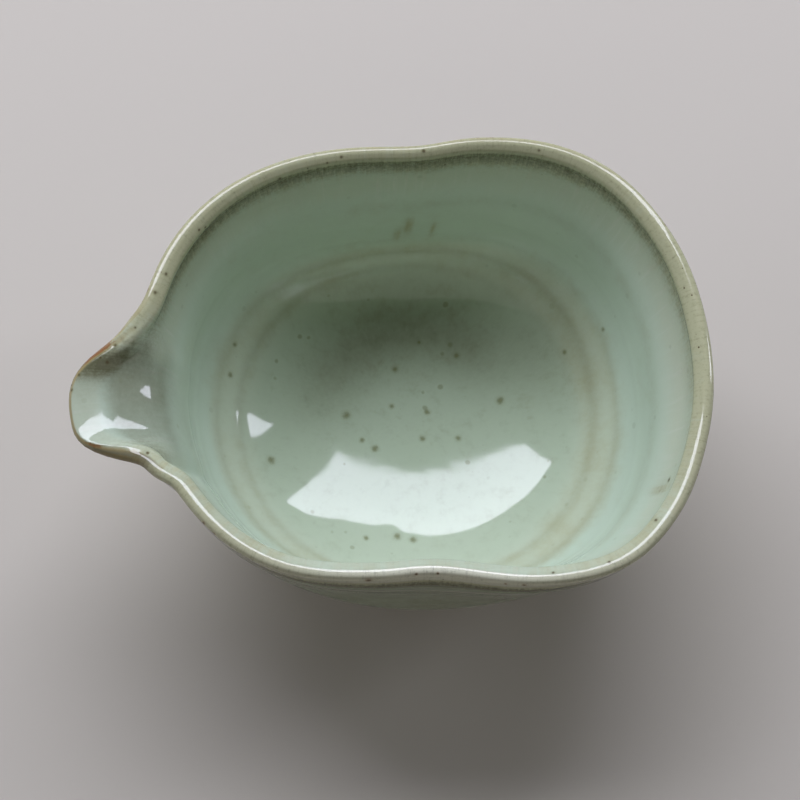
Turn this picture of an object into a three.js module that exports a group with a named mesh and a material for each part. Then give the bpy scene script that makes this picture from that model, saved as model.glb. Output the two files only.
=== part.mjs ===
// A yuzamashi: a small open stoneware pitcher in which boiled water cools before green tea is brewed.
// It is thrown on the wheel as a round bowl, squeezed oval, pressed with a finger on both long sides
// and pulled out into a pouring lip at one end. A thrown foot ring is luted underneath. The inside is
// coated with glaze by pouring and the outside by dipping, and the foot stays bare.
// Millimetres, +Z up. The lip points along -X, and the foot stands on z = 0. Every piece is drawn
// round the wheel's axis, and the whole is moved last so that its outline is centred on the origin.

import * as THREE from "three";

// Driving dimensions of the thrown bowl
const RIM_LINE_RADIUS = 53.3; // where the middle of the wall ends, inside the rim's rounded edge
const RIM_LINE_HEIGHT = 56.6;
const BODY_BASE = 5; // underside of the bowl, which is the ceiling of the foot's recess
const BODY_BASE_RADIUS = 25.5;
const FLOOR_THICKNESS = 4.6;
const WALL_THICKNESS = 2.7;
const HEEL_AT = 29; // along the wall line: the floor's thickness starts to give way to the wall's
const HEEL_LENGTH = 42;
const FOOT_OUTER_RADIUS = 24;
const FOOT_INNER_RADIUS = 18.5;
const FOOT_BEVEL = 1.2;

// Glaze
const GLAZE_COAT = 0.45;
const GLAZE_AT_RIM = 0.25; // the coat drains off the edge while it melts
const GLAZE_POOL = 0.9; // and gathers on the floor
const GLAZE_DRAINS = 8; // along the wall below the rim
const GLAZE_LINE = 32.5; // along the wall line, from the floor's centre to where the outside coat ends

// How the soft bowl is pressed out of round: radial movements at the rim
const SQUEEZE = 4.45;
const BLUNT_BACK = -0.95;
const SQUARENESS = -1.5;
const SKEW = -1.2;
const SKEW_BACK = 0.2;
const SQUEEZE_STARTS = 10; // height
const SQUEEZE_FULL = 32;
const LEAN = new THREE.Vector2(3.35, 0.65); // the rim's centre from the wheel's axis

const FINGER_DENTS = [
  { at: 85, half: 15.5, depth: 1.45 },
  { at: -94, half: 31, depth: 5.2 },
];
const DENT_STARTS = 20.6; // height
const DENT_CURVE = 1.4; // above 1 the dent deepens faster near the rim
// Where the hands left the rim a little uneven
const WAVERS = [
  { at: 77, half: 8, depth: -0.5 },
  { at: 30, half: 9, depth: 0.3 },
  { at: -24, half: 10, depth: 0.5 },
  { at: -51, half: 9, depth: -0.75 },
  { at: -106, half: 9, depth: -0.4 },
  { at: -150, half: 14, depth: 0.35 },
];

// The lip. Its far flank, on +Y, slopes gently, and its near flank is fuller and ends sharply.
const LIP_AT = 183.4; // degrees, almost along -X
const LIP_REACH = 16;
const LIP_FAR_HALF = 14.2; // degrees
const LIP_NEAR_HALF = 8.8;
const LIP_BLUNTNESS = 3.1;
const LIP_PINCHES = [
  { at: 170.4, half: 3.1, depth: 1.25 },
  { at: 196.4, half: 3.1, depth: -2.3 },
];
const LIP_STARTS = 38; // height at which the wall begins to lean out
const LIP_PULL = 3.6; // a high power keeps the wall upright and turns it out just under the rim
const LIP_DROP = 4; // the tip hangs below the rim
const LIP_CURL = 4;
const LIP_THINNING = 0.55; // share of the thickness lost at the tip
const THIN_SIDE = { at: 95, half: 50 }; // the far side's edge is thrown thinner
const SIDE_THINNING = 0.27;
const THINNING_STARTS = 48; // height

// Facets
const AROUND = 64;
const CROWDING = 0.45; // closes the facets up at the lip and opens them at the back
const RIM_ROOT = 3; // the last station on the wall, below the line's end
const OUTSIDE_STEPS = 12;
const INSIDE_STEPS = 15;
const CROWDING_TO_RIM = 1.35;
const FOOT_SEGMENTS = 48;

const rad = THREE.MathUtils.degToRad;
const lerp = THREE.MathUtils.lerp;
const clamp01 = (x) => Math.min(1, Math.max(0, x));
const smooth = (x) => clamp01(x) ** 2 * (3 - 2 * clamp01(x));
const turnFrom = (angle, degrees) => {
  const d = angle - rad(degrees);
  return Math.atan2(Math.sin(d), Math.cos(d));
};
const bell = (angle, { at, half }) => Math.exp(-((turnFrom(angle, at) / rad(half)) ** 2));

// The middle of the thrown wall as radius and height, from the floor's centre out and up to the rim
const wallLine = new THREE.SplineCurve(
  [
    [0, 7.6],
    [11, 7.9],
    [22, 9.1],
    [32, 12.4],
    [39.7, 18],
    [45.3, 26],
    [48.1, 37],
    [52, 48],
    [RIM_LINE_RADIUS, RIM_LINE_HEIGHT],
  ].map(([radius, height]) => new THREE.Vector2(radius, height)),
);

const LENGTH = wallLine.getLength();

// The rim's section as distances past the wall line's end and outwards: an edge rounded over by wet
// fingers, then a bevel that falls inwards to a crease
const rimSection = [
  [-0.35, 1.55],
  [0.55, 1.42],
  [1, 1.05],
  [1.15, 0.55],
  [1.1, -0.05],
  [0.7, -0.75],
  [-0.55, -1.85],
];
const RIM_CREST = 3; // index of the section's highest point

// The pressing, as functions of the angle round the bowl
const squeezeAt = (a) =>
  SQUEEZE * Math.cos(2 * a) +
  BLUNT_BACK * Math.cos(3 * a) +
  SQUARENESS * Math.cos(4 * a) +
  SKEW * Math.sin(2 * a) +
  SKEW_BACK * Math.sin(3 * a);
const marks = [...FINGER_DENTS, ...WAVERS, ...LIP_PINCHES];
const dentAt = (a) => marks.reduce((sum, mark) => sum + mark.depth * bell(a, mark), 0);
const lipShare = (a) => {
  const t = turnFrom(a, LIP_AT);
  return Math.exp(-((Math.abs(t) / rad(t > 0 ? LIP_NEAR_HALF : LIP_FAR_HALF)) ** LIP_BLUNTNESS));
};

// Where a point of the wall line lies at an angle round the pressed bowl
function pressedLine(along, a) {
  const { x: radius, y: height } = wallLine.getPointAt(clamp01(along / LENGTH));
  const squeezed = smooth((height - SQUEEZE_STARTS) / (SQUEEZE_FULL - SQUEEZE_STARTS));
  const dented = clamp01((height - DENT_STARTS) / (RIM_LINE_HEIGHT - DENT_STARTS)) ** DENT_CURVE;
  const pulled = clamp01((height - LIP_STARTS) / (RIM_LINE_HEIGHT - LIP_STARTS));
  const leaned = smooth((height - SQUEEZE_STARTS) / (RIM_LINE_HEIGHT - SQUEEZE_STARTS));
  const r =
    radius * (1 + (squeezed * squeezeAt(a)) / RIM_LINE_RADIUS) +
    pulled ** LIP_PULL * LIP_REACH * lipShare(a) -
    dented * dentAt(a);
  return new THREE.Vector3(
    r * Math.cos(a) + leaned * LEAN.x,
    r * Math.sin(a) + leaned * LEAN.y,
    height - pulled ** LIP_CURL * LIP_DROP * lipShare(a),
  );
}

// A point of the section, so far along the wall line and so far out of it, carried to where the line
// is pressed. The clay and the glass keep their thickness this way, also where the lip lies nearly flat.
function pressed({ x: along, y: out }, a) {
  const step = 0.3;
  const onLine = Math.min(along, LENGTH);
  const tangent = pressedLine(onLine + step, a).sub(pressedLine(onLine - step, a)).normalize();
  const round = pressedLine(onLine, a + step / LENGTH).sub(pressedLine(onLine, a - step / LENGTH));
  const outward = round.cross(tangent).normalize();
  const height = wallLine.getPointAt(onLine / LENGTH).y;
  const nearEdge = smooth((height - THINNING_STARTS) / (RIM_LINE_HEIGHT - THINNING_STARTS));
  const kept = 1 - nearEdge * (LIP_THINNING * lipShare(a) ** 2 + SIDE_THINNING * bell(a, THIN_SIDE));
  return pressedLine(onLine, a)
    .addScaledVector(tangent, (along - onLine) * kept)
    .addScaledVector(outward, out * kept);
}

// The clay's section: up the outside, over the rim and down to the middle of the floor, each point
// given by its distance along the wall line and outwards from it
const pastHeel = (along) => smooth((along - HEEL_AT) / HEEL_LENGTH);
const halfWall = (along) => lerp(FLOOR_THICKNESS, WALL_THICKNESS, pastHeel(along)) / 2;
const station = (from, share) => lerp(LENGTH - RIM_ROOT, from, (1 - share) ** CROWDING_TO_RIM);
const stations = (from, steps) => Array.from({ length: steps + 1 }, (_, i) => station(from, i / steps));
const outside = stations(GLAZE_LINE, OUTSIDE_STEPS).map((along) => new THREE.Vector2(along, halfWall(along)));
const rim = rimSection.map(([past, out]) => new THREE.Vector2(LENGTH + past, out));
const inside = stations(0, INSIDE_STEPS)
  .reverse()
  .map((along) => new THREE.Vector2(along, -halfWall(along)));
const clay = [...outside, ...rim, ...inside];
const CREST = outside.length + RIM_CREST;

// The glass on it, square to the section, thin at the rim and deep on the floor
const glass = clay.map((point, i) => {
  const before = clay[Math.max(0, i - 1)];
  const after = clay[Math.min(clay.length - 1, i + 1)];
  const square = new THREE.Vector2(before.y - after.y, after.x - before.x).normalize();
  const drained = smooth(1 - (LENGTH - point.x) / GLAZE_DRAINS);
  const pooled = i > CREST ? smooth(1 - point.x / HEEL_AT) : 0;
  const coat = GLAZE_COAT + (GLAZE_AT_RIM - GLAZE_COAT) * drained + (GLAZE_POOL - GLAZE_COAT) * pooled;
  return point.clone().addScaledVector(square, coat);
});

// Angles round the bowl, closer together at the lip
const angles = Array.from({ length: AROUND }, (_, i) => {
  const even = (2 * Math.PI * i) / AROUND;
  return even + CROWDING * Math.sin(even);
});

const pole = (height) => [new THREE.Vector3(0, 0, height)];
const FLOOR_LINE = wallLine.getPoint(0).y;
const ringOf = (point, i, { length }) =>
  i === length - 1 ? pole(FLOOR_LINE - point.y) : angles.map((a) => pressed(point, a));
const clayRings = clay.map(ringOf);
const glassRings = glass.map(ringOf);

// A closed skin from rings of points, each ring going round the bowl. A ring of one point is a pole.
function skin(rings) {
  const positions = [];
  const starts = rings.map((ring) => {
    const start = positions.length / 3;
    ring.forEach((p) => positions.push(p.x, p.y, p.z));
    return start;
  });
  const faces = [];
  rings.forEach((ring, i) => {
    const next = rings[(i + 1) % rings.length];
    const [s, t] = [starts[i], starts[(i + 1) % rings.length]];
    for (let k = 0; k < AROUND; k++) {
      const m = (k + 1) % AROUND;
      if (ring.length > 1 && next.length > 1) {
        // The shorter diagonal, so that clay and glass are cut alike where they touch
        const rising = ring[k].distanceToSquared(next[m]) < ring[m].distanceToSquared(next[k]);
        if (rising) faces.push(s + k, s + m, t + m, s + k, t + m, t + k);
        else faces.push(s + k, s + m, t + k, s + m, t + m, t + k);
      } else if (ring.length > 1) {
        faces.push(s + k, s + m, t);
      } else if (next.length > 1) {
        faces.push(s, t + m, t + k);
      }
    }
  });
  const geometry = new THREE.BufferGeometry();
  geometry.setAttribute("position", new THREE.Float32BufferAttribute(positions, 3));
  geometry.setIndex(faces);
  geometry.computeVertexNormals();
  return geometry;
}

const bareClay = new THREE.MeshStandardMaterial({ color: 0x9a8570, roughness: 0.85, metalness: 0 });
const celadon = new THREE.MeshStandardMaterial({ color: 0xa3b3a4, roughness: 0.12, metalness: 0 });

function piece(name, geometry, material) {
  const mesh = new THREE.Mesh(geometry, material);
  mesh.name = name;
  return mesh;
}

// The thrown bowl with its pulled lip: the fired clay alone, flat and still round underneath
function clayBowl() {
  const edge = angles.map(
    (a) => new THREE.Vector3(BODY_BASE_RADIUS * Math.cos(a), BODY_BASE_RADIUS * Math.sin(a), BODY_BASE),
  );
  return piece("clay_bowl", skin([pole(BODY_BASE), edge, ...clayRings]), bareClay);
}

// Glass melted on the clay from the rim's crest down to the middle of the floor
function insideGlaze() {
  const under = clayRings.slice(CREST).reverse();
  return piece("inside_glaze", skin([...under, ...glassRings.slice(CREST)]), celadon);
}

// Glass melted on the clay from the glaze line above the foot up to the rim's crest
function outsideGlaze() {
  const under = clayRings.slice(0, CREST + 1).reverse();
  return piece("outside_glaze", skin([...under, ...glassRings.slice(0, CREST + 1)]), celadon);
}

// A ring of the same clay, thrown by itself and luted under the bowl with slip
function footRing() {
  const ring = new THREE.LatheGeometry(
    [
      new THREE.Vector2(FOOT_INNER_RADIUS + FOOT_BEVEL, 0),
      new THREE.Vector2(FOOT_OUTER_RADIUS - FOOT_BEVEL, 0),
      new THREE.Vector2(FOOT_OUTER_RADIUS - FOOT_BEVEL / 3, FOOT_BEVEL),
      new THREE.Vector2(FOOT_OUTER_RADIUS, BODY_BASE),
      new THREE.Vector2(FOOT_INNER_RADIUS, BODY_BASE),
      new THREE.Vector2(FOOT_INNER_RADIUS + FOOT_BEVEL / 3, FOOT_BEVEL),
      new THREE.Vector2(FOOT_INNER_RADIUS + FOOT_BEVEL, 0),
    ],
    FOOT_SEGMENTS,
  );
  const mesh = piece("foot_ring", ring, bareClay);
  mesh.rotation.x = Math.PI / 2; // a lathe turns about +Y
  return mesh;
}

const yuzamashi = new THREE.Group();
yuzamashi.add(clayBowl(), footRing(), insideGlaze(), outsideGlaze());

// The origin goes under the middle of the whole outline, which the lip puts off the foot's centre
const middle = new THREE.Box3().setFromObject(yuzamashi).getCenter(new THREE.Vector3());
yuzamashi.position.set(-middle.x, -middle.y, 0);

export default yuzamashi;
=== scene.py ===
import math

import bpy
import numpy as np
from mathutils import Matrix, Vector


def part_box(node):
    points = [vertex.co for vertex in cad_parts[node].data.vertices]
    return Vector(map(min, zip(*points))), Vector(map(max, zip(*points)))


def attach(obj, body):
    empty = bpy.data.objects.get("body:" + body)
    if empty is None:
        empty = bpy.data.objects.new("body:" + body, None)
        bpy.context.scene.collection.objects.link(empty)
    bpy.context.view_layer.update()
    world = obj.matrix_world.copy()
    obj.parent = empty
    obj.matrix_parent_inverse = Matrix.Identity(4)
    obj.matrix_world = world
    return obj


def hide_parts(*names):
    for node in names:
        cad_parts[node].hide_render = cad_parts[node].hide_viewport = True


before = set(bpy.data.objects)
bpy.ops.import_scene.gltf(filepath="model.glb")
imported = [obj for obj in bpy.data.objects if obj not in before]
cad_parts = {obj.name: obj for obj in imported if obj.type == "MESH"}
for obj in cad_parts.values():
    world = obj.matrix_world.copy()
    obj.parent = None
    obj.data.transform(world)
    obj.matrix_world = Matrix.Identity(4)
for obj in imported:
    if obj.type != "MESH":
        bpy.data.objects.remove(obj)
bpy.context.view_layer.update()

# The thrown bowl. A round stoneware bowl is thrown on the wheel, and while it is soft it is squeezed
# oval, pressed with a finger on both long sides and pulled out into a lip. Its clay shows only below
# the glaze line, where it has toasted in the kiln.
MM = 0.001
foot_low, foot_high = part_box("foot_ring")
WHEEL_X = (foot_low.x + foot_high.x) / 2
WHEEL_Y = (foot_low.y + foot_high.y) / 2
FOOT_RADIUS = (foot_high.x - foot_low.x) / 2
BASE_Z = foot_high.z
BASE_RADIUS = FOOT_RADIUS + 1.5 * MM
RIM_LINE = (53.3 * MM, 56.6 * MM)  # radius and height at which the middle of the wall ends
FLOOR_THICKNESS = 4.6 * MM
WALL_THICKNESS = 2.7 * MM
HEEL_AT = 29 * MM  # along the wall line: the floor's thickness starts to give way to the wall's
HEEL_LENGTH = 42 * MM
GLAZE_LINE = 32.5 * MM  # along the wall line: the outside coat ends here
STEP = 0.42 * MM  # between the points of a section
SEGMENTS = 320  # round the wheel's axis

# How the soft bowl is pressed out of round: movements of the rim, and the heights they start at
SQUEEZE = 4.45 * MM
BLUNT_BACK = -0.95 * MM
SQUARENESS = -1.5 * MM
SKEW = -1.2 * MM
SKEW_BACK = 0.2 * MM
SQUEEZE_STARTS = 10 * MM
SQUEEZE_FULL = 32 * MM
LEAN = (3.35 * MM, 0.65 * MM)  # the rim's centre from the wheel's axis
# Dents by angle and half width in degrees and depth in millimetres: two pressed by fingers, then the
# rim's small unevennesses, where less than nothing is a bulge
FINGER_DENTS = [(85, 15.5, 1.45), (-94, 31, 5.2)]
WAVERS = [(77, 8, -0.5), (30, 9, 0.3), (-24, 10, 0.5), (-51, 9, -0.75), (-106, 9, -0.4), (-150, 14, 0.35)]
DENT_STARTS = 20.6 * MM
DENT_CURVE = 1.4  # above 1 a dent deepens faster near the rim

# The lip. Its far flank slopes gently, and its near flank is fuller and ends sharply.
LIP_AT = math.radians(183.4)
LIP_REACH = 16 * MM
LIP_FAR_HALF = math.radians(14.2)
LIP_NEAR_HALF = math.radians(8.8)
LIP_BLUNTNESS = 3.1
LIP_PINCHES = [(170.4, 3.1, 1.25), (196.4, 3.1, -2.3)]  # at its two corners, written as dents are
LIP_STARTS = 38 * MM  # height at which the wall begins to lean out
LIP_PULL = 3.6  # a high power keeps the wall upright and turns it out just under the rim
LIP_DROP = 4 * MM  # the tip hangs below the rim
LIP_CURL = 4
LIP_THINNING = 0.55  # share of the thickness lost at the tip
THIN_SIDE = (95, 50)  # angle and half width in degrees: the far side's edge is thrown thinner
SIDE_THINNING = 0.27
THINNING_STARTS = 48 * MM

# The thrower's marks, with their places along the wall line
RINGS_FROM = 36 * MM
RINGS_TO = 66 * MM
RING_STARTS = 42.9 * MM  # the fingers' spiral groove inside crosses here at angle 0
RING_PITCH = 6.5 * MM
RING_WANDER = 1.0 * MM
RING_HALF = 0.9 * MM
RING_DEPTH = 0.09 * MM
SWELL_AT = 66 * MM
SWELL_WANDER = 2 * MM
SWELL_HALF = 2.5 * MM
SWELL_HEIGHT = 0.1 * MM
COLLAR = 7 * MM  # a fine groove runs round the outside this far below the rim
COLLAR_HALF = 0.45 * MM
COLLAR_DEPTH = 0.15 * MM
BELLY_PITCH = 5.5 * MM
BELLY_HEIGHT = 0.015 * MM


def smooth(x):
    x = np.clip(x, 0, 1)
    return x * x * (3 - 2 * x)


def rising(x, start, length):
    """0 up to start, 1 a length past it and smooth between."""
    return smooth((x - start) / length)


def falling(x, end, length):
    """1 up to a length before end, 0 past it and smooth between."""
    return smooth((end - x) / length)


def bell(x):
    return np.exp(-x * x)


def drawn_curve(points, step):
    """A smooth curve through points, cut into even steps, as its length so far and its places."""
    p = np.array(points, float)
    padded = np.vstack([p[:1], p, p[-1:]])
    t = np.linspace(0, 1, 200, endpoint=False)[:, None]
    stretches = []
    for a, b, c, d in zip(padded, padded[1:], padded[2:], padded[3:]):
        bend = (2 * a - 5 * b + 4 * c - d) * t**2 + (3 * b - a - 3 * c + d) * t**3
        stretches.append(b + 0.5 * ((c - a) * t + bend))
    fine = np.vstack(stretches + [p[-1:]])
    so_far = np.r_[0, np.cumsum(np.hypot(*np.diff(fine, axis=0).T))]
    even = np.linspace(0, so_far[-1], round(so_far[-1] / step) + 1)
    return even, np.interp(even, so_far, fine[:, 0]), np.interp(even, so_far, fine[:, 1])


# The middle of the wall as it is thrown: radius and height, from the floor's centre up to the rim
wall_points = [
    (0, 7.6 * MM),
    (11 * MM, 7.9 * MM),
    (22 * MM, 9.1 * MM),
    (32 * MM, 12.4 * MM),
    (39.7 * MM, 18 * MM),
    (45.3 * MM, 26 * MM),
    (48.1 * MM, 37 * MM),
    (52 * MM, 48 * MM),
    RIM_LINE,
]
LINE_STEP = 0.02 * MM
EASED_OVER = 2 * MM
line_along, line_radius, line_height = drawn_curve(wall_points, LINE_STEP)
LENGTH = line_along[-1]


def eased(values, mirrored):
    """Averages values over a short stretch, so that reflections run on smoothly past a drawn point."""
    reach = round(EASED_OVER / LINE_STEP)
    before = values[0] + mirrored * (values[reach:0:-1] - values[0])
    after = 2 * values[-1] - values[-2 : -reach - 2 : -1]
    share = np.full(2 * reach + 1, 1 / (2 * reach + 1))
    return np.convolve(np.r_[before, values, after], share, "valid")


for _ in range(2):
    line_radius = eased(line_radius, -1)
    line_height = eased(line_height, 1)


def turn_from(angle, place):
    return np.arctan2(np.sin(angle - place), np.cos(angle - place))


def mark_at(angle, degrees, half_degrees):
    return bell(turn_from(angle, math.radians(degrees)) / math.radians(half_degrees))


def lip_share(angle):
    turn = turn_from(angle, LIP_AT)
    half = np.where(turn > 0, LIP_NEAR_HALF, LIP_FAR_HALF)
    return np.exp(-np.abs(turn / half) ** LIP_BLUNTNESS)


def pressed_line(along, angle):
    """Where the middle of the wall lies once the round bowl is squeezed, dented and pulled."""
    radius = np.interp(along, line_along, line_radius)
    height = np.interp(along, line_along, line_height)
    squeeze = SQUEEZE * np.cos(2 * angle) + BLUNT_BACK * np.cos(3 * angle) + SQUARENESS * np.cos(4 * angle)
    squeeze = squeeze + SKEW * np.sin(2 * angle) + SKEW_BACK * np.sin(3 * angle)
    pushed_in = FINGER_DENTS + WAVERS + LIP_PINCHES
    dents = sum(mark_at(angle, at, half) * depth for at, half, depth in pushed_in)
    squeezed = rising(height, SQUEEZE_STARTS, SQUEEZE_FULL - SQUEEZE_STARTS)
    dented = np.clip((height - DENT_STARTS) / (RIM_LINE[1] - DENT_STARTS), 0, 1) ** DENT_CURVE
    pulled = np.clip((height - LIP_STARTS) / (RIM_LINE[1] - LIP_STARTS), 0, 1)
    leaned = rising(height, SQUEEZE_STARTS, RIM_LINE[1] - SQUEEZE_STARTS)
    lip = lip_share(angle)
    r = radius * (1 + squeezed * squeeze / RIM_LINE[0])
    r = r + pulled**LIP_PULL * LIP_REACH * lip - dented * dents * MM
    x = WHEEL_X + r * np.cos(angle) + leaned * LEAN[0]
    y = WHEEL_Y + r * np.sin(angle) + leaned * LEAN[1]
    return np.stack([x, y, height - pulled**LIP_CURL * LIP_DROP * lip], axis=-1)


def unit(vectors):
    return vectors / np.linalg.norm(vectors, axis=-1, keepdims=True)


def carried(along, out, angle):
    """Points so far along the wall line and so far out of it, carried to where the line is pressed."""
    step = 0.3 * MM
    on_line = np.minimum(along, LENGTH)
    off_axis = np.maximum(on_line, step)
    tangent = unit(pressed_line(on_line + step, angle) - pressed_line(on_line - step, angle))
    turn = step / LENGTH
    around = pressed_line(off_axis, angle + turn) - pressed_line(off_axis, angle - turn)
    outward = unit(np.cross(around, tangent))
    height = np.interp(on_line, line_along, line_height)
    near_edge = rising(height, THINNING_STARTS, RIM_LINE[1] - THINNING_STARTS)
    thinned = LIP_THINNING * lip_share(angle) ** 2 + SIDE_THINNING * mark_at(angle, *THIN_SIDE)
    kept = 1 - near_edge * thinned
    past_end = tangent * (kept * (along - on_line))[:, None]
    return pressed_line(on_line, angle) + past_end + outward * (kept * out)[:, None]


def ring_mark(along, angle, half=RING_HALF):
    """1 on the spiral that the thrower's fingers left inside, falling to 0 beside it."""
    wander = RING_WANDER * np.cos(angle - math.radians(130))
    turns = (along - RING_STARTS - wander) / RING_PITCH - angle / (2 * math.pi)
    beside = (turns - np.round(turns)) * RING_PITCH
    return bell(beside / half)


def ridged(along, out, angle):
    """The thrower's marks, as a small change of how far out the surface lies."""
    on_heel = rising(along, RINGS_FROM, 6 * MM) * falling(along, RINGS_TO, 14 * MM)
    rings = -RING_DEPTH * ring_mark(along, angle) * on_heel
    swell = SWELL_HEIGHT * bell((along - SWELL_AT - SWELL_WANDER * np.sin(angle)) / SWELL_HALF)
    groove = -COLLAR_DEPTH * bell((along - LENGTH + COLLAR) / COLLAR_HALF)
    belly = BELLY_HEIGHT * np.sin((along / BELLY_PITCH - angle / (2 * math.pi)) * 2 * math.pi)
    below_rim = falling(along, LENGTH, 4 * MM)
    outside = groove + belly * below_rim * falling(along, LENGTH - COLLAR, 6 * MM)
    return np.where(out < 0, (rings - swell) * below_rim, outside)


def half_wall(along):
    share = rising(along, HEEL_AT, HEEL_LENGTH)
    return (FLOOR_THICKNESS + (WALL_THICKNESS - FLOOR_THICKNESS) * share) / 2


# The section of the clay, unrolled: how far along the wall line, and how far out of it
RIM_ROOT = LENGTH - 3 * MM
outside_along = np.arange(GLAZE_LINE, RIM_ROOT, STEP)
outside = (outside_along, half_wall(outside_along))
_, rim_along, rim_out = drawn_curve(
    [
        (RIM_ROOT, half_wall(RIM_ROOT)),
        (LENGTH - 0.35 * MM, 1.55 * MM),
        (LENGTH + 0.55 * MM, 1.42 * MM),
        (LENGTH + 1 * MM, 1.05 * MM),
        (LENGTH + 1.15 * MM, 0.55 * MM),
        (LENGTH + 1.1 * MM, -0.05 * MM),
        (LENGTH + 0.7 * MM, -0.75 * MM),
        (LENGTH - 0.55 * MM, -1.85 * MM),
        (LENGTH - 1.9 * MM, -1.75 * MM),
        (RIM_ROOT, -half_wall(RIM_ROOT)),
    ],
    STEP / 2,
)
inside_along = np.arange(RIM_ROOT, 0, -STEP)[1:]
inside_along = np.r_[inside_along, 0]
inside = (inside_along, -half_wall(inside_along))
clay_along, clay_out = np.hstack([outside, (rim_along, rim_out), inside])
crest = len(outside_along) + int(np.argmax(rim_along))


def note(piece, name, values):
    """Writes a value for each point onto the piece, where its material or a later step can read it."""
    piece.data.attributes.new(name, "FLOAT", "POINT").data.foreach_set("value", values.astype(np.float32))


def throw(name, section, closed_at_axis):
    """Spins a closed unrolled section round the wheel's axis into the bowl before it is pressed."""
    along, out = section
    slope = np.arctan2(np.gradient(line_height), np.gradient(line_radius))
    lean = np.interp(along, line_along, slope)
    past_end = along - np.minimum(along, LENGTH)
    radius = np.interp(along, line_along, line_radius) + past_end * np.cos(lean) + out * np.sin(lean)
    height = np.interp(along, line_along, line_height) + past_end * np.sin(lean) - out * np.cos(lean)
    radius[along == 0] = 0
    bpy.ops.object.select_all(action="DESELECT")
    bpy.ops.mesh.primitive_circle_add(vertices=len(along), radius=RIM_LINE[0])
    piece = bpy.context.object
    piece.name = piece.data.name = name
    line = piece.data
    line.vertices.foreach_set("co", np.c_[radius, 0 * radius, height].ravel().astype(np.float32))
    note(piece, "along", along)
    note(piece, "out", out)
    bpy.ops.object.mode_set(mode="EDIT")
    if closed_at_axis:
        bpy.ops.mesh.select_all(action="DESELECT")
        bpy.ops.object.mode_set(mode="OBJECT")
        for edge in line.edges:
            edge.select = all(abs(line.vertices[v].co.x) < STEP / 100 for v in edge.vertices)
        bpy.ops.object.mode_set(mode="EDIT")
        bpy.ops.mesh.select_mode(type="EDGE")
        bpy.ops.mesh.delete(type="EDGE")
    bpy.ops.mesh.select_mode(type="VERT")
    bpy.ops.mesh.select_all(action="SELECT")
    bpy.ops.mesh.spin(steps=SEGMENTS, angle=2 * math.pi, center=(0, 0, 0), axis=(0, 0, 1))
    bpy.ops.mesh.select_all(action="SELECT")
    bpy.ops.mesh.remove_doubles(threshold=STEP / 100)
    bpy.ops.mesh.select_all(action="SELECT")
    bpy.ops.mesh.normals_make_consistent(inside=False)
    bpy.ops.object.mode_set(mode="OBJECT")
    bpy.ops.object.shade_smooth_by_angle(angle=math.radians(50))
    return piece


def reading(piece, name):
    """The values that were noted on a piece's points."""
    values = np.zeros(len(piece.data.vertices), np.float32)
    piece.data.attributes[name].data.foreach_get("value", values)
    return values.astype(float)


def press(piece):
    """Moves each point of a thrown piece to its pressed place."""
    places = np.zeros(3 * len(piece.data.vertices), np.float32)
    piece.data.vertices.foreach_get("co", places)
    angle = np.arctan2(places[1::3], places[0::3]).astype(float)
    along = reading(piece, "along")
    out = reading(piece, "out")
    final = carried(along, out + ridged(along, out, angle), angle)
    piece.data.vertices.foreach_set("co", final.ravel().astype(np.float32))
    piece.data.update()
    return along, out, angle


class Socket:
    """A value in a material that can be added to, multiplied and so on like a number."""

    def __init__(self, recipe, socket):
        self.recipe = recipe
        self.socket = socket

    def maths(self, operation, first, second):
        return self.recipe.node("Math", {"operation": operation}, {0: first, 1: second})

    def __add__(self, other):
        return self.maths("ADD", self, other)

    def __sub__(self, other):
        return self.maths("SUBTRACT", self, other)

    def __rsub__(self, other):
        return self.maths("SUBTRACT", other, self)

    def __mul__(self, other):
        return self.maths("MULTIPLY", self, other)

    __radd__ = __add__
    __rmul__ = __mul__


class Recipe:
    """A material that is built up node by node."""

    def __init__(self, name):
        self.material = bpy.data.materials.new(name)
        self.material.use_nodes = True
        self.tree = self.material.node_tree
        self.shader = self.tree.nodes["Principled BSDF"]

    def set(self, socket, value):
        if isinstance(value, Socket):
            self.tree.links.new(value.socket, socket)
        else:
            socket.default_value = value

    def node(self, kind, settings, inputs, output=0):
        made = self.tree.nodes.new("ShaderNode" + kind)
        for name, value in settings.items():
            setattr(made, name, value)
        for key, value in inputs.items():
            self.set(made.inputs[key], value)
        return Socket(self, made.outputs[output])

    def mix(self, share, first, second):
        return self.node("Mix", {"data_type": "RGBA"}, {0: share, 6: first, 7: second}, 2)

    def noted(self, name, output="Fac"):
        return self.node("Attribute", {"attribute_name": name}, {}, output)

    def noise(self, scale, detail=2.0, roughness=0.5, where=None):
        where = where or self.node("TexCoord", {}, {}, "Object")
        inputs = {"Vector": where, "Scale": scale, "Detail": detail, "Roughness": roughness}
        return self.node("TexNoise", {}, inputs)

    def finish(self, **inputs):
        for name, value in inputs.items():
            self.set(self.shader.inputs[name.replace("_", " ").title()], value)
        return self.material


def ranged(value, low, high):
    """0 below low, 1 above high and smooth between."""
    inputs = {"Value": value, "From Min": low, "From Max": high}
    return value.recipe.node("MapRange", {"interpolation_type": "SMOOTHSTEP"}, inputs)


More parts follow.
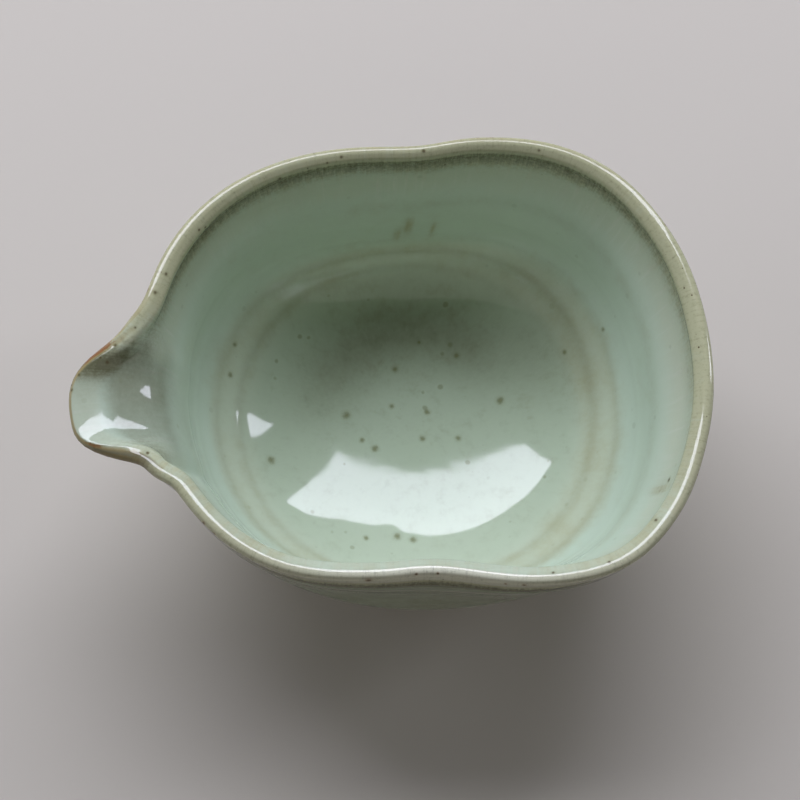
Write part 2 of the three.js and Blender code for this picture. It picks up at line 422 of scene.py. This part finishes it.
RAW_CLAY = (0.33, 0.24, 0.17, 1)
TOASTED_CLAY = (0.40, 0.21, 0.11, 1)
SANDY_CLAY = (0.50, 0.40, 0.30, 1)
bare_clay = Recipe("bare_stoneware")
patches = bare_clay.noise(60, 3)
grit = bare_clay.noise(1400, 2, 0.7)
body_colour = bare_clay.mix(ranged(patches, 0.35, 0.65), RAW_CLAY, TOASTED_CLAY)
body_colour = bare_clay.mix(ranged(grit, 0.55, 0.75) * 0.6, body_colour, SANDY_CLAY)
clay_bump = bare_clay.node("Bump", {}, {"Height": grit, "Strength": 0.5, "Distance": 0.15 * MM})
stoneware = bare_clay.finish(base_color=body_colour, roughness=0.8, normal=clay_bump)


def unrolled(radius, height):
    """How far along the wall line each point of the round bowl lies, and how far out of it."""
    gaps = np.hypot(radius[:, None] - line_radius, height[:, None] - line_height)
    nearest = np.argmin(gaps, axis=1)
    return line_along[nearest], gaps[np.arange(len(radius)), nearest]


EDGE_SOFTNESS = 0.6 * MM
EDGE_RISE = 0.4 * MM
base_radii = np.arange(0, BASE_RADIUS - EDGE_SOFTNESS, 2 * STEP)
base_radii = np.r_[base_radii, BASE_RADIUS, BASE_RADIUS + EDGE_SOFTNESS]
base_heights = np.full(len(base_radii), BASE_Z)
base_heights[-1] += EDGE_RISE
turned = unrolled(base_radii, base_heights)
UNDER_GLAZE = slice(None, None, 4)  # the clay under the glaze needs only every fourth point
clay_section = (clay_along[UNDER_GLAZE], clay_out[UNDER_GLAZE])
bare_section = np.hstack([turned, clay_section, [[0], clay_out[-1:]]])
clay_bowl = throw("thrown_clay_bowl", bare_section, True)
press(clay_bowl)
clay_bowl.data.materials.append(stoneware)
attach(clay_bowl, "root")
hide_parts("clay_bowl")

# The foot ring. A narrow ring of the same clay is thrown and luted under the bowl, its edges softened
# with a wet finger. It carries no glaze, so that it doesn't stick to the kiln shelf.
FOOT_INNER_RADIUS = FOOT_RADIUS - 5.5 * MM
FOOT_BEVEL = 1.2 * MM
WET_FINGER = 0.35 * MM  # how far each edge is rounded
foot_radii = np.array(
    [
        FOOT_INNER_RADIUS + FOOT_BEVEL,
        FOOT_RADIUS - FOOT_BEVEL,
        FOOT_RADIUS - FOOT_BEVEL / 3,
        FOOT_RADIUS,
        FOOT_INNER_RADIUS,
        FOOT_INNER_RADIUS + FOOT_BEVEL / 3,
    ]
)
foot_heights = np.array([0, 0, FOOT_BEVEL, BASE_Z, BASE_Z, FOOT_BEVEL])
bpy.ops.object.select_all(action="DESELECT")
bpy.ops.mesh.primitive_circle_add(vertices=len(foot_radii), radius=FOOT_RADIUS)
foot_ring = bpy.context.object
foot_ring.name = foot_ring.data.name = "luted_foot_ring"
foot_places = np.c_[WHEEL_X + foot_radii, np.full(len(foot_radii), WHEEL_Y), foot_heights]
foot_ring.data.vertices.foreach_set("co", foot_places.ravel().astype(np.float32))
bpy.ops.object.mode_set(mode="EDIT")
bpy.ops.mesh.select_all(action="SELECT")
bpy.ops.mesh.bevel(offset=WET_FINGER, segments=3, affect="VERTICES")
bpy.ops.mesh.select_all(action="SELECT")
bpy.ops.mesh.spin(steps=SEGMENTS // 2, angle=2 * math.pi, center=(WHEEL_X, WHEEL_Y, 0), axis=(0, 0, 1))
bpy.ops.mesh.select_all(action="SELECT")
bpy.ops.mesh.remove_doubles(threshold=STEP / 100)
bpy.ops.mesh.select_all(action="SELECT")
bpy.ops.mesh.normals_make_consistent(inside=False)
bpy.ops.object.mode_set(mode="OBJECT")
bpy.ops.object.shade_smooth_by_angle(angle=math.radians(50))
foot_ring.data.materials.append(stoneware)
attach(foot_ring, "root")
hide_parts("foot_ring")

# The inside glaze. A wood-ash celadon is poured in, swirled and poured out again. It melts to a glass
# that pools blue between the floor and the rim, and runs thin and beige over the finger rings, over
# the rim and at the lip's edge, where the clay's iron burns through as brown.
COAT = 0.45 * MM  # the glaze's thickness on the wall
COAT_AT_RIM = 0.25 * MM
COAT_POOLED = 0.9 * MM
DRAINED_LENGTH = 8 * MM  # it thins over this length up to the rim
UNDER_STEP = 6  # the hidden side of a coat needs only every sixth point

drained = smooth(1 - (LENGTH - clay_along) / DRAINED_LENGTH)
pooled = np.where(np.arange(len(clay_along)) > crest, smooth(1 - clay_along / HEEL_AT), 0)
coat = COAT + (COAT_AT_RIM - COAT) * drained + (COAT_POOLED - COAT) * pooled
forward = unit(np.gradient(np.c_[clay_along, clay_out], axis=0))
glass_along = clay_along - forward[:, 1] * coat
glass_out = clay_out + forward[:, 0] * coat
glass_along[-1] = 0


def coat_section(first, last):
    """The closed section of a coat between two points of the profile: glass on top, clay below."""
    under = np.arange(last, first, -UNDER_STEP)
    under = np.r_[under, first]
    over = slice(first, last + 1)
    return np.r_[glass_along[over], clay_along[under]], np.r_[glass_out[over], clay_out[under]]


# The larger specks: angle in degrees, distance along the wall line and radius in millimetres
INSIDE_SPECKS = [
    (13, 20.5, 0.75),
    (163, 15, 0.8),
    (55, 19.5, 0.6),
    (101, 14.3, 0.65),
    (-103, 25.5, 0.75),
    (-95, 26, 0.65),
    (-117, 28, 0.5),
    (-170, 33.5, 0.8),
    (-172, 11.5, 0.5),
    (-157, 9.5, 0.7),
    (-17, 10.2, 0.6),
    (46, 5, 0.6),
    (127, 7, 0.5),
    (-50, 3, 0.6),
    (19, 50, 0.45),
    (20, 39, 0.5),
    (153, 45.5, 0.55),
    (162, 44, 0.6),
    (81, 20, 0.4),
    (-29, 74.7, 0.6),
    (-54.5, 85, 0.35),
    (-41, 84.2, 0.4),
    (-66, 85, 0.35),
    (59, 84.6, 0.35),
    (86.5, 85, 0.4),
    (107, 84.6, 0.35),
    (110.5, 83.8, 0.25),
    (122, 83, 0.4),
    (142, 83, 0.3),
    (143.5, 83.8, 0.3),
    (155.5, 84.6, 0.35),
    (160, 85, 0.5),
    (170.5, 84.2, 0.4),
    (167, 84.3, 0.3),
    (172.8, 83.6, 0.25),
    (173.5, 82.5, 0.45),
    (176, 83.8, 0.35),
    (177.6, 84.9, 0.22),
    (178.5, 84.2, 0.35),
    (-166, 84.2, 0.35),
]
OUTSIDE_SPECKS = [
    (-111, 83.9, 0.55),
    (-99, 84.7, 0.25),
    (-93, 84.7, 0.22),
    (-76, 83.8, 0.3),
    (-72, 83.8, 0.38),
    (-146, 84.2, 0.3),
    (-149, 84.4, 0.35),
    (-42, 84, 0.28),
    (-27, 83.8, 0.25),
    (-28.5, 84.3, 0.2),
    (28, 84.3, 0.35),
    (26.5, 84.6, 0.3),
    (70, 84.3, 0.45),
    (73, 84.6, 0.3),
    (92, 84.4, 0.35),
    (160, 84.4, 0.45),
]
# Smears of thin glaze: angle in degrees, then distance along the wall line, half width and half
# length in millimetres
SMEARS = [(88.5, 57, 1.3, 4), (91.5, 53.5, 1.1, 3), (81, 55, 0.9, 3), (-31, 72, 1.2, 4), (-41, 81, 1.2, 2)]
THIN_RING_HALF = 1.8 * MM

# Where the glaze changes inside, and the first where painted shade lies on the far floor, in millimetres
# along the wall line
FAR_FLOOR_SHADE_AT = 22
HEEL_FROM = 36
FLOOR_ENDS = 42
WALL_FROM = 45
HEEL_TO = 54
SHOULDER_AT = 62.5
CHANNEL_FROM = 66
WALL_TO = 76
VALLEY_TO = 82

CREST_PAST_LINE = 1.15  # the rim's crest lies this many millimetres past the wall line's end

# Where it changes below the rim, in millimetres down from the crest
CREASE_FROM = 1.6
EDGE_TO = 3.6
FLANK_TO = 4.8
COLLAR_TO = 8
CREASE_TO = 10

# Where it changes round the bowl, in degrees
NEAR_SIDE = -92
FAR_SIDE = 105
FAR_CORNER = 172.4
FAR_FLANK = 173.8
NEAR_CORNER = 188.7
NEAR_FLANK = -168.5

GROOVE_HALF = 0.3 * MM
FLOW_DOWN = 0.07  # the streaks' pattern changes this much more slowly down the wall than round it


def below_crest(along):
    """How far below the rim's crest a point lies along the wall, in millimetres."""
    return (LENGTH - along) / MM + CREST_PAST_LINE


def far_share(angle):
    """1 along the far side of the bowl, 0 along the near side and smooth between."""
    return smooth(0.52 + 0.6 * np.cos(angle - math.radians(FAR_SIDE)))


def smear_share(mm_along, angle):
    """How much a point lies in the smears of thin glaze."""
    share = 0
    for at, height, half, length in SMEARS:
        across = turn_from(angle, math.radians(at)) * RIM_LINE[0] / MM
        share = share + bell(across / half) * bell((mm_along - height) / length)
    return share


def ran_inside(along, angle):
    """How the poured glaze ran, with painted light and shade. Lengths are in millimetres, angles in
    degrees.
    """
    mm_along = along / MM
    from_crest = below_crest(along)
    lip = lip_share(angle)
    channel = lip * rising(mm_along, CHANNEL_FROM, 8)
    off_lip = 1 - channel

    # It runs thin over the finger rings, the shoulder, the rim's rounded edge and a few smears
    heel = rising(mm_along, HEEL_FROM, 5) * falling(mm_along, HEEL_TO, 7)
    rings = ring_mark(along, angle, THIN_RING_HALF) * heel
    shoulder = bell((mm_along - SHOULDER_AT - 2.5 * np.sin(angle)) / 2.2)
    shoulder = shoulder * smooth(0.6 + np.cos(angle - 0.2))
    smears = smear_share(mm_along, angle)
    edge = falling(from_crest, EDGE_TO, 2.6) * off_lip
    below_edge = falling(from_crest, 14, 12) * off_lip
    below_share = 0.22 + 0.18 * np.sin(angle) + 0.2 * smooth(np.cos(angle))
    rim_share = (0.6 + 0.38 * np.sin(angle)) * edge + below_share * below_edge
    heel_share = (0.24 + 0.12 * np.cos(angle)) * heel + 0.12 * rings

    # Painted shade in the far rim's crease and the lip's channel, valley and far flank, some over thin
    # glaze
    crease_starts = CREASE_FROM + 1.4 * mark_at(angle, 153, 12)
    crease = rising(from_crest, crease_starts, 0.9) * falling(from_crest, CREASE_TO, 6)
    crease = crease * far_share(angle) * off_lip * (1 - 0.5 * mark_at(angle, 167, 6))
    flank = mark_at(angle, FAR_FLANK, 2.5)
    flank = flank * falling(from_crest, FLANK_TO, 2) * rising(from_crest, -0.8, 0.8)
    valley = falling(mm_along, VALLEY_TO, 2) * rising(mm_along, CHANNEL_FROM + 2, 6) * channel
    far_half = smooth(0.5 + turn_from(math.radians(181), angle) / math.radians(12))
    lip_shade = (0.16 + 0.14 * far_half) * channel + 0.22 * rising(mm_along, 58, 10) * lip * off_lip
    lip_shade = lip_shade + 0.38 * valley + 0.7 * flank

    # Darker on the rings too and in one corner of the heel, and painted shade on the far side of the floor
    far_floor_shade = bell((mm_along - FAR_FLOOR_SHADE_AT) / 10) * smooth(0.2 + 0.9 * np.sin(angle - 0.1))
    dim_corner = bell((mm_along - 35) / 9) * mark_at(angle, 27, 26)
    ring_shade = 0.2 * rings + 0.14 * shoulder + 0.26 * dim_corner + 0.3 * smears

    # It pools blue on the wall and in the channel, and lies still on the floor; painted light halves the
    # still colour on the lit near side
    on_wall = rising(mm_along, WALL_FROM, 6) * falling(mm_along, WALL_TO, 12)
    pool = on_wall * (1 - 0.7 * np.clip(smears, 0, 1)) + channel * rising(from_crest, 2, 2)
    lit_near_side = mark_at(angle, NEAR_SIDE, 45) * rising(mm_along, 18, 8)
    return {
        "thin": heel_share + 0.15 * shoulder + 0.7 * smears + rim_share + 0.4 * crease + 0.5 * flank,
        # painted light: paler on the upper inner wall across from the lip
        "painted_light": 0.3 * bell((mm_along - 73) / 7) * mark_at(angle, -6, 28),
        "pool": pool,
        "dark": 0.7 * crease + lip_shade + ring_shade + 0.5 * far_floor_shade,
        "still": falling(mm_along, FLOOR_ENDS, 8) * (1 - 0.5 * lit_near_side),
        "streaky": rising(mm_along, 62, 12),
    }


def ran_outside(along, angle):
    """How the dipped glaze ran: thin on the collar below the rim, with dark streaks above the groove; with
    painted light and shade
    """
    from_crest = below_crest(along)
    collar = falling(from_crest, COLLAR_TO, 0.6)
    streaks_start = 3.6 - 1.4 * mark_at(angle, -158, 22) - 1.8 * mark_at(angle, -167, 6)
    return {
        "thin": 0.3 + 0.7 * collar,
        # painted light: paler on the near side's outer shoulder, which faces up into the light
        "painted_light": falling(from_crest, 4.6, 2) * mark_at(angle, NEAR_SIDE, 38),
        "pool": 0.5 * (1 - collar),
        # the belly's dark grey is the glaze's own colour and, in part, painted shade
        "dark": 0.8 * collar * rising(from_crest, streaks_start, 2.6) + 0.47 * (1 - collar),
        "still": 0 * collar,
        "streaky": 0.1 + 0.9 * collar,
    }


def burnt_through(along, angle, within):
    """Where the clay's iron shows: at the lip's corners, under its near flank, darkened there as painted
    shade too, and along its edge.
    """
    from_crest = below_crest(along)
    outside = ~within
    past_crest = np.where(within, falling(from_crest, 0.8, 0.8), falling(from_crest, 9, 5))
    under_flank = mark_at(angle, NEAR_FLANK, 5.5) * past_crest
    rust = mark_at(angle, FAR_CORNER, 2.3) * bell(from_crest / np.where(within, 0.35, 0.8))
    rust = rust + 0.8 * mark_at(angle, NEAR_CORNER, 1.1) * bell((from_crest - 0.6) / 0.7)
    rust = rust + 0.2 * under_flank * outside
    far_edge = mark_at(angle, 78, 16) * bell((from_crest - 1.2) / 0.9) * outside
    ochre = bell((from_crest - 0.4) / 0.7) * lip_share(angle) ** 0.6
    ochre = ochre + 0.4 * far_share(angle) * falling(from_crest, 3, 1.5) * outside
    return {"burnt": np.clip(rust + 0.3 * far_edge, 0, 1), "ochre": ochre, "browned_and_shaded": under_flank}


def note_glaze(piece, along, out, angle):
    """Notes on each point of a coat how the glaze ran there and where light and shade are painted, which
    its material reads.
    """
    within = out < 0
    noted_outside = ran_outside(along, angle)
    for name, noted_inside in ran_inside(along, angle).items():
        note(piece, name, np.clip(np.where(within, noted_inside, noted_outside[name]), 0, 1))
    for name, values in burnt_through(along, angle, within).items():
        note(piece, name, values)
    note(piece, "groove", bell((LENGTH - COLLAR - along) / GROOVE_HALF) * ~within)
    flow = np.c_[RIM_LINE[0] * np.cos(angle), RIM_LINE[0] * np.sin(angle), FLOW_DOWN * along]
    flow_notes = piece.data.attributes.new("flow", "FLOAT_VECTOR", "POINT")
    flow_notes.data.foreach_set("vector", flow.ravel().astype(np.float32))


GLASS = (0.49, 0.57, 0.43, 1)
GLASS_POOLED = (0.49, 0.60, 0.47, 1)
GLASS_STILL = (0.44, 0.53, 0.39, 1)
GLASS_THIN = (0.44, 0.45, 0.28, 1)
# a pale colour that paints light onto the glaze
PAINTED_LIGHT_COLOUR = (0.70, 0.71, 0.56, 1)
# a dark olive for the glaze's darker parts and for painted shade
DARK_GLAZE_AND_SHADE = (0.135, 0.14, 0.078, 1)
GLASS_STREAKED = (0.62, 0.66, 0.58, 1)
OCHRE_EDGE = (0.31, 0.25, 0.11, 1)
BURNT_IRON = (0.22, 0.10, 0.03, 1)
RUST_RING = (0.27, 0.16, 0.06, 1)
IRON_SPOT = (0.085, 0.06, 0.025, 1)
SUNK_SPOT = (0.16, 0.17, 0.07, 1)
celadon = Recipe("celadon_glass")
flow = celadon.noted("flow", "Vector")
streaks = celadon.noise(900, 3, 0.6, flow)
fine_streaks = celadon.noise(2600, 2, 0.6, flow)
cloud = celadon.noise(55, 4, 0.6)
mottle = celadon.noise(330, 3, 0.65)
grain = celadon.noise(1300, 3, 0.7)
thin = celadon.noted("thin")
still = celadon.noted("still")
streaky = celadon.noted("streaky")
uneven = (cloud - 0.5) * 0.8 + (mottle - 0.5) * 0.6 + (streaks - 0.5) * streaky * 0.9
glass_colour = celadon.mix(ranged(celadon.noted("pool") + uneven, 0.1, 0.9), GLASS, GLASS_POOLED)
glass_colour = celadon.mix(still, glass_colour, GLASS_STILL)
glass_colour = celadon.mix(ranged(streaks, 0.5, 0.75) * streaky * 0.35, glass_colour, GLASS_STREAKED)
glass_colour = celadon.mix(ranged(thin + uneven, 0.0, 1.0), glass_colour, GLASS_THIN)
# Painted light on the near side's outer shoulder and the upper inner wall across from the lip
glass_colour = celadon.mix(celadon.noted("painted_light"), glass_colour, PAINTED_LIGHT_COLOUR)
dusted = (grain - 0.5) * (thin * streaky * 1.4 + 0.12) + (fine_streaks - 0.5) * thin * streaky * 0.9
# Darker glaze, and painted shade in the far rim's crease, the lip, the far floor and the belly
shaded = celadon.noted("dark") + (cloud - 0.5) * 0.2 + (mottle - 0.5) * 0.15 + dusted
glass_colour = celadon.mix(ranged(shaded, -0.1, 1.05), glass_colour, DARK_GLAZE_AND_SHADE)
still_mottle = ranged(mottle + (cloud - 0.5) * 0.4, 0.5, 0.85) * still
glass_colour = celadon.mix(still_mottle * 0.15, glass_colour, DARK_GLAZE_AND_SHADE)
glass_colour = celadon.mix(celadon.noted("groove") * 0.7, glass_colour, DARK_GLAZE_AND_SHADE)
# Iron brown under the lip's near flank, darkened further as painted shade
browned_and_shaded = celadon.noted("browned_and_shaded") + (grain - 0.5) * 0.5
glass_colour = celadon.mix(ranged(browned_and_shaded, 0.1, 0.9) * 0.75, glass_colour, IRON_SPOT)
ochre = celadon.noted("ochre") + (mottle - 0.5) * 0.5
glass_colour = celadon.mix(ranged(ochre, 0.2, 0.9) * 0.85, glass_colour, OCHRE_EDGE)
burnt = celadon.noted("burnt") * 1.1 + (grain - 0.5) * 0.9 + (mottle - 0.5) * 0.3
rusted = ranged(burnt, 0.25, 0.8)
glass_colour = celadon.mix(rusted, glass_colour, BURNT_IRON)


def scattered_spots(scale, share, size):
    """Iron specks: one in some cells of a random pattern, each with its own size."""
    where = celadon.node("TexCoord", {}, {}, "Object")
    inputs = {"Vector": where, "Scale": scale, "Randomness": 1.0}
    near = celadon.node("TexVoronoi", {"feature": "F1"}, inputs, "Distance")
    cell = celadon.node("TexVoronoi", {"feature": "F1"}, inputs, "Color")
    chance = celadon.node("SeparateColor", {}, {"Color": cell}, "Red")
    width = celadon.node("SeparateColor", {}, {"Color": cell}, "Green")
    chosen = ranged(chance, 1 - share, 1 - share + 0.02)
    radius = (width * 0.7 + 0.3) * size
    inside_spot = ranged((near + (mottle - 0.5) * size) * -1 + radius, 0, size * 0.5)
    return inside_spot * chosen


def gap_to_specks(specks, side):
    """How far the nearest larger speck is on one side of the glaze, counted in that speck's radius."""
    where = celadon.node("TexCoord", {}, {}, "Object")
    nearest = 10.0  # farther off than any speck reaches
    for degrees, mm_along, radius in specks:
        on_glass = np.interp(mm_along * MM, glass_along[side], glass_out[side])
        place = carried(np.array([mm_along * MM]), np.array([on_glass]), np.array([math.radians(degrees)]))
        ends = {0: where, 1: tuple(place[0])}
        gap = celadon.node("VectorMath", {"operation": "DISTANCE"}, ends, "Value")
        nearest = gap.maths("MINIMUM", gap * (1 / (radius * MM)), nearest)
    return nearest + (grain - 0.5) * 1.2 + (mottle - 0.5) * 1.0


fine_specks = scattered_spots(700, 0.2, 0.2) * (thin * streaky * 0.9 + 0.08)
faint_specks = scattered_spots(230, 0.8, 0.2) * (still * 0.3 + 0.15)
gap_inside = gap_to_specks(INSIDE_SPECKS, slice(None, crest - 1, -1))
gap_outside = gap_to_specks(OUTSIDE_SPECKS, slice(0, crest + 1))
glass_colour = celadon.mix(fine_specks, glass_colour, IRON_SPOT)
glass_colour = celadon.mix(faint_specks, glass_colour, SUNK_SPOT)
glass_colour = celadon.mix(ranged(gap_inside * -1, -2.2, -0.4) * 0.3, glass_colour, SUNK_SPOT)
glass_colour = celadon.mix(ranged(gap_outside * -1, -2.2, -0.6) * 0.6, glass_colour, RUST_RING)
speck_colour = celadon.mix(streaky, SUNK_SPOT, IRON_SPOT)
speck_share = ranged(gap_inside * -1, -1.3, -0.2) * (streaky * 0.2 + 0.65)
glass_colour = celadon.mix(speck_share, glass_colour, speck_colour)
glass_colour = celadon.mix(ranged(gap_outside * -1, -1.2, -0.3) * 0.85, glass_colour, IRON_SPOT)
peel = celadon.noise(260, 1)
glass_bump = celadon.node("Bump", {}, {"Height": peel, "Strength": 0.12, "Distance": 0.1 * MM})
glass = celadon.finish(base_color=glass_colour, roughness=rusted * 0.3 + 0.06, normal=glass_bump)

inside_glaze = throw("poured_inside_glaze", coat_section(crest, len(clay_along) - 1), True)
note_glaze(inside_glaze, *press(inside_glaze))
inside_glaze.data.materials.append(glass)
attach(inside_glaze, "root")
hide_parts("inside_glaze")

# The outside glaze. The bowl is held by its foot and dipped rim down, so the same glass covers the
# outside from the rim, where it joins the inside coat, to a line above the foot.
outside_glaze = throw("dipped_outside_glaze", coat_section(0, crest), False)
note_glaze(outside_glaze, *press(outside_glaze))
outside_glaze.data.materials.append(glass)
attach(outside_glaze, "root")
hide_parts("outside_glaze")

# The studio: a plain pale floor, softboxes behind the bowl and to its left and right that stand in
# for windows, the pale room in front of the bowl and the room's own soft light.
floor_paint = Recipe("studio_floor")
floor_material = floor_paint.finish(base_color=(0.56, 0.53, 0.46, 1), roughness=0.9)
bpy.ops.object.select_all(action="DESELECT")
bpy.ops.mesh.primitive_plane_add(size=6, location=(0, 0, 0))
floor = bpy.context.object
floor.name = "studio_floor"
floor.data.materials.append(floor_material)

VIEW_TURN = math.radians(-5.0)  # the bowl lies turned by this much in the picture


def seen_at(azimuth, elevation):
    """The direction from the bowl: azimuth counts from the far side to the right, elevation up."""
    turned = math.radians(azimuth) - VIEW_TURN
    level = math.cos(math.radians(elevation))
    return Vector((level * math.sin(turned), level * math.cos(turned), math.sin(math.radians(elevation))))


def softbox(name, corners, distance, radiance, colour, lights=True, reflects=True):
    """A glowing card whose corners are seen from the bowl in the given directions.

    lights says whether it lights matt surfaces, and reflects whether glossy ones show it.
    """
    directions = [seen_at(*corner) for corner in corners]
    facing = sum(directions, Vector()).normalized()
    centre = Vector((WHEEL_X, WHEEL_Y, BASE_Z))
    bpy.ops.object.select_all(action="DESELECT")
    bpy.ops.mesh.primitive_circle_add(vertices=len(corners), radius=distance, fill_type="NGON")
    card = bpy.context.object
    card.name = name
    for vertex, direction in zip(card.data.vertices, directions):
        vertex.co = centre + direction * distance / direction.dot(facing)
    paint = Recipe(name)
    glow = paint.finish(
        base_color=(0, 0, 0, 1), roughness=1.0, emission_color=(*colour, 1), emission_strength=radiance
    )
    card.data.materials.append(glow)
    card.visible_camera = False
    card.visible_shadow = False
    card.visible_diffuse = lights
    card.visible_glossy = reflects


# The cards' corners, as azimuth and elevation in degrees. The pane's run up its right-hand side and
# over the top to the left, and back along its uneven lower edge.
WINDOW_PANE = [
    (42.5, 26),
    (41.5, 42),
    (38, 55),
    (24, 70.5),
    (2, 72.5),
    (-15, 71.5),
    (-33, 67.5),
    (-51.5, 57.5),
    (-55, 37.5),
    (-38.5, 40.5),
    (-18, 45),
    (-4.5, 48),
    (3.5, 51.5),
    (6.5, 55),
    (13.5, 51),
    (22, 47.5),
    (27, 42.5),
    (34.5, 33),
]
WINDOW_LIGHT = [(35, 28), (35, 57), (-50, 57), (-50, 28)]
SIDE_WINDOW = [(73, 15), (74.5, 28), (68, 44), (66, 32), (66, 14)]
LEFT_LIGHT = [(-50, 8), (-50, 38), (-105, 38), (-105, 8)]
ROOM = [(128, 20), (147, 20), (-140, 20), (-115, 29), (-140, 50), (180, 65), (140, 50)]
DAYLIGHT = (0.96, 0.97, 1.13)
ROOM_COLOUR = (1.0, 0.96, 0.86)
WINDOWS_AT = 1.2
ROOM_AT = 1.5
softbox("window_pane", WINDOW_PANE, WINDOWS_AT, 8.7, DAYLIGHT, lights=False)
softbox("window_light", WINDOW_LIGHT, WINDOWS_AT, 6.4, DAYLIGHT, reflects=False)
softbox("side_window", SIDE_WINDOW, WINDOWS_AT, 8.4, DAYLIGHT)
softbox("left_light", LEFT_LIGHT, WINDOWS_AT, 1.15, DAYLIGHT, reflects=False)
softbox("pale_room", ROOM, ROOM_AT, 0.42, ROOM_COLOUR)

world = bpy.data.worlds.new("room")
bpy.context.scene.world = world
world.use_nodes = True
background = world.node_tree.nodes["Background"]
background.inputs["Color"].default_value = (1.0, 0.96, 0.88, 1)
background.inputs["Strength"].default_value = 0.01

# The camera looks down into the bowl from the side of the deeper finger dent.
CAMERA_ELEVATION = math.radians(74)
CAMERA_DISTANCE = 600 * MM
LENS = 134.2
AIM_LEFT = 3.375 * MM  # the picture's middle lies this far from the wheel's axis, at the rim's height
AIM_NEAR = 6.681 * MM
RIM_TOP = 58 * MM
aim = Vector((WHEEL_X - AIM_LEFT, WHEEL_Y - AIM_NEAR, RIM_TOP))
level = CAMERA_DISTANCE * math.cos(CAMERA_ELEVATION)
above = CAMERA_DISTANCE * math.sin(CAMERA_ELEVATION)
offset = Vector((level * math.sin(VIEW_TURN), -level * math.cos(VIEW_TURN), above))
bpy.ops.object.camera_add(location=aim + offset, rotation=(-offset).to_track_quat("-Z", "Y").to_euler())
camera = bpy.context.object
camera.name = "camera"
camera.data.lens = LENS
camera.data.sensor_width = 36
bpy.context.scene.camera = camera
bpy.context.scene.view_settings.view_transform = "Standard"
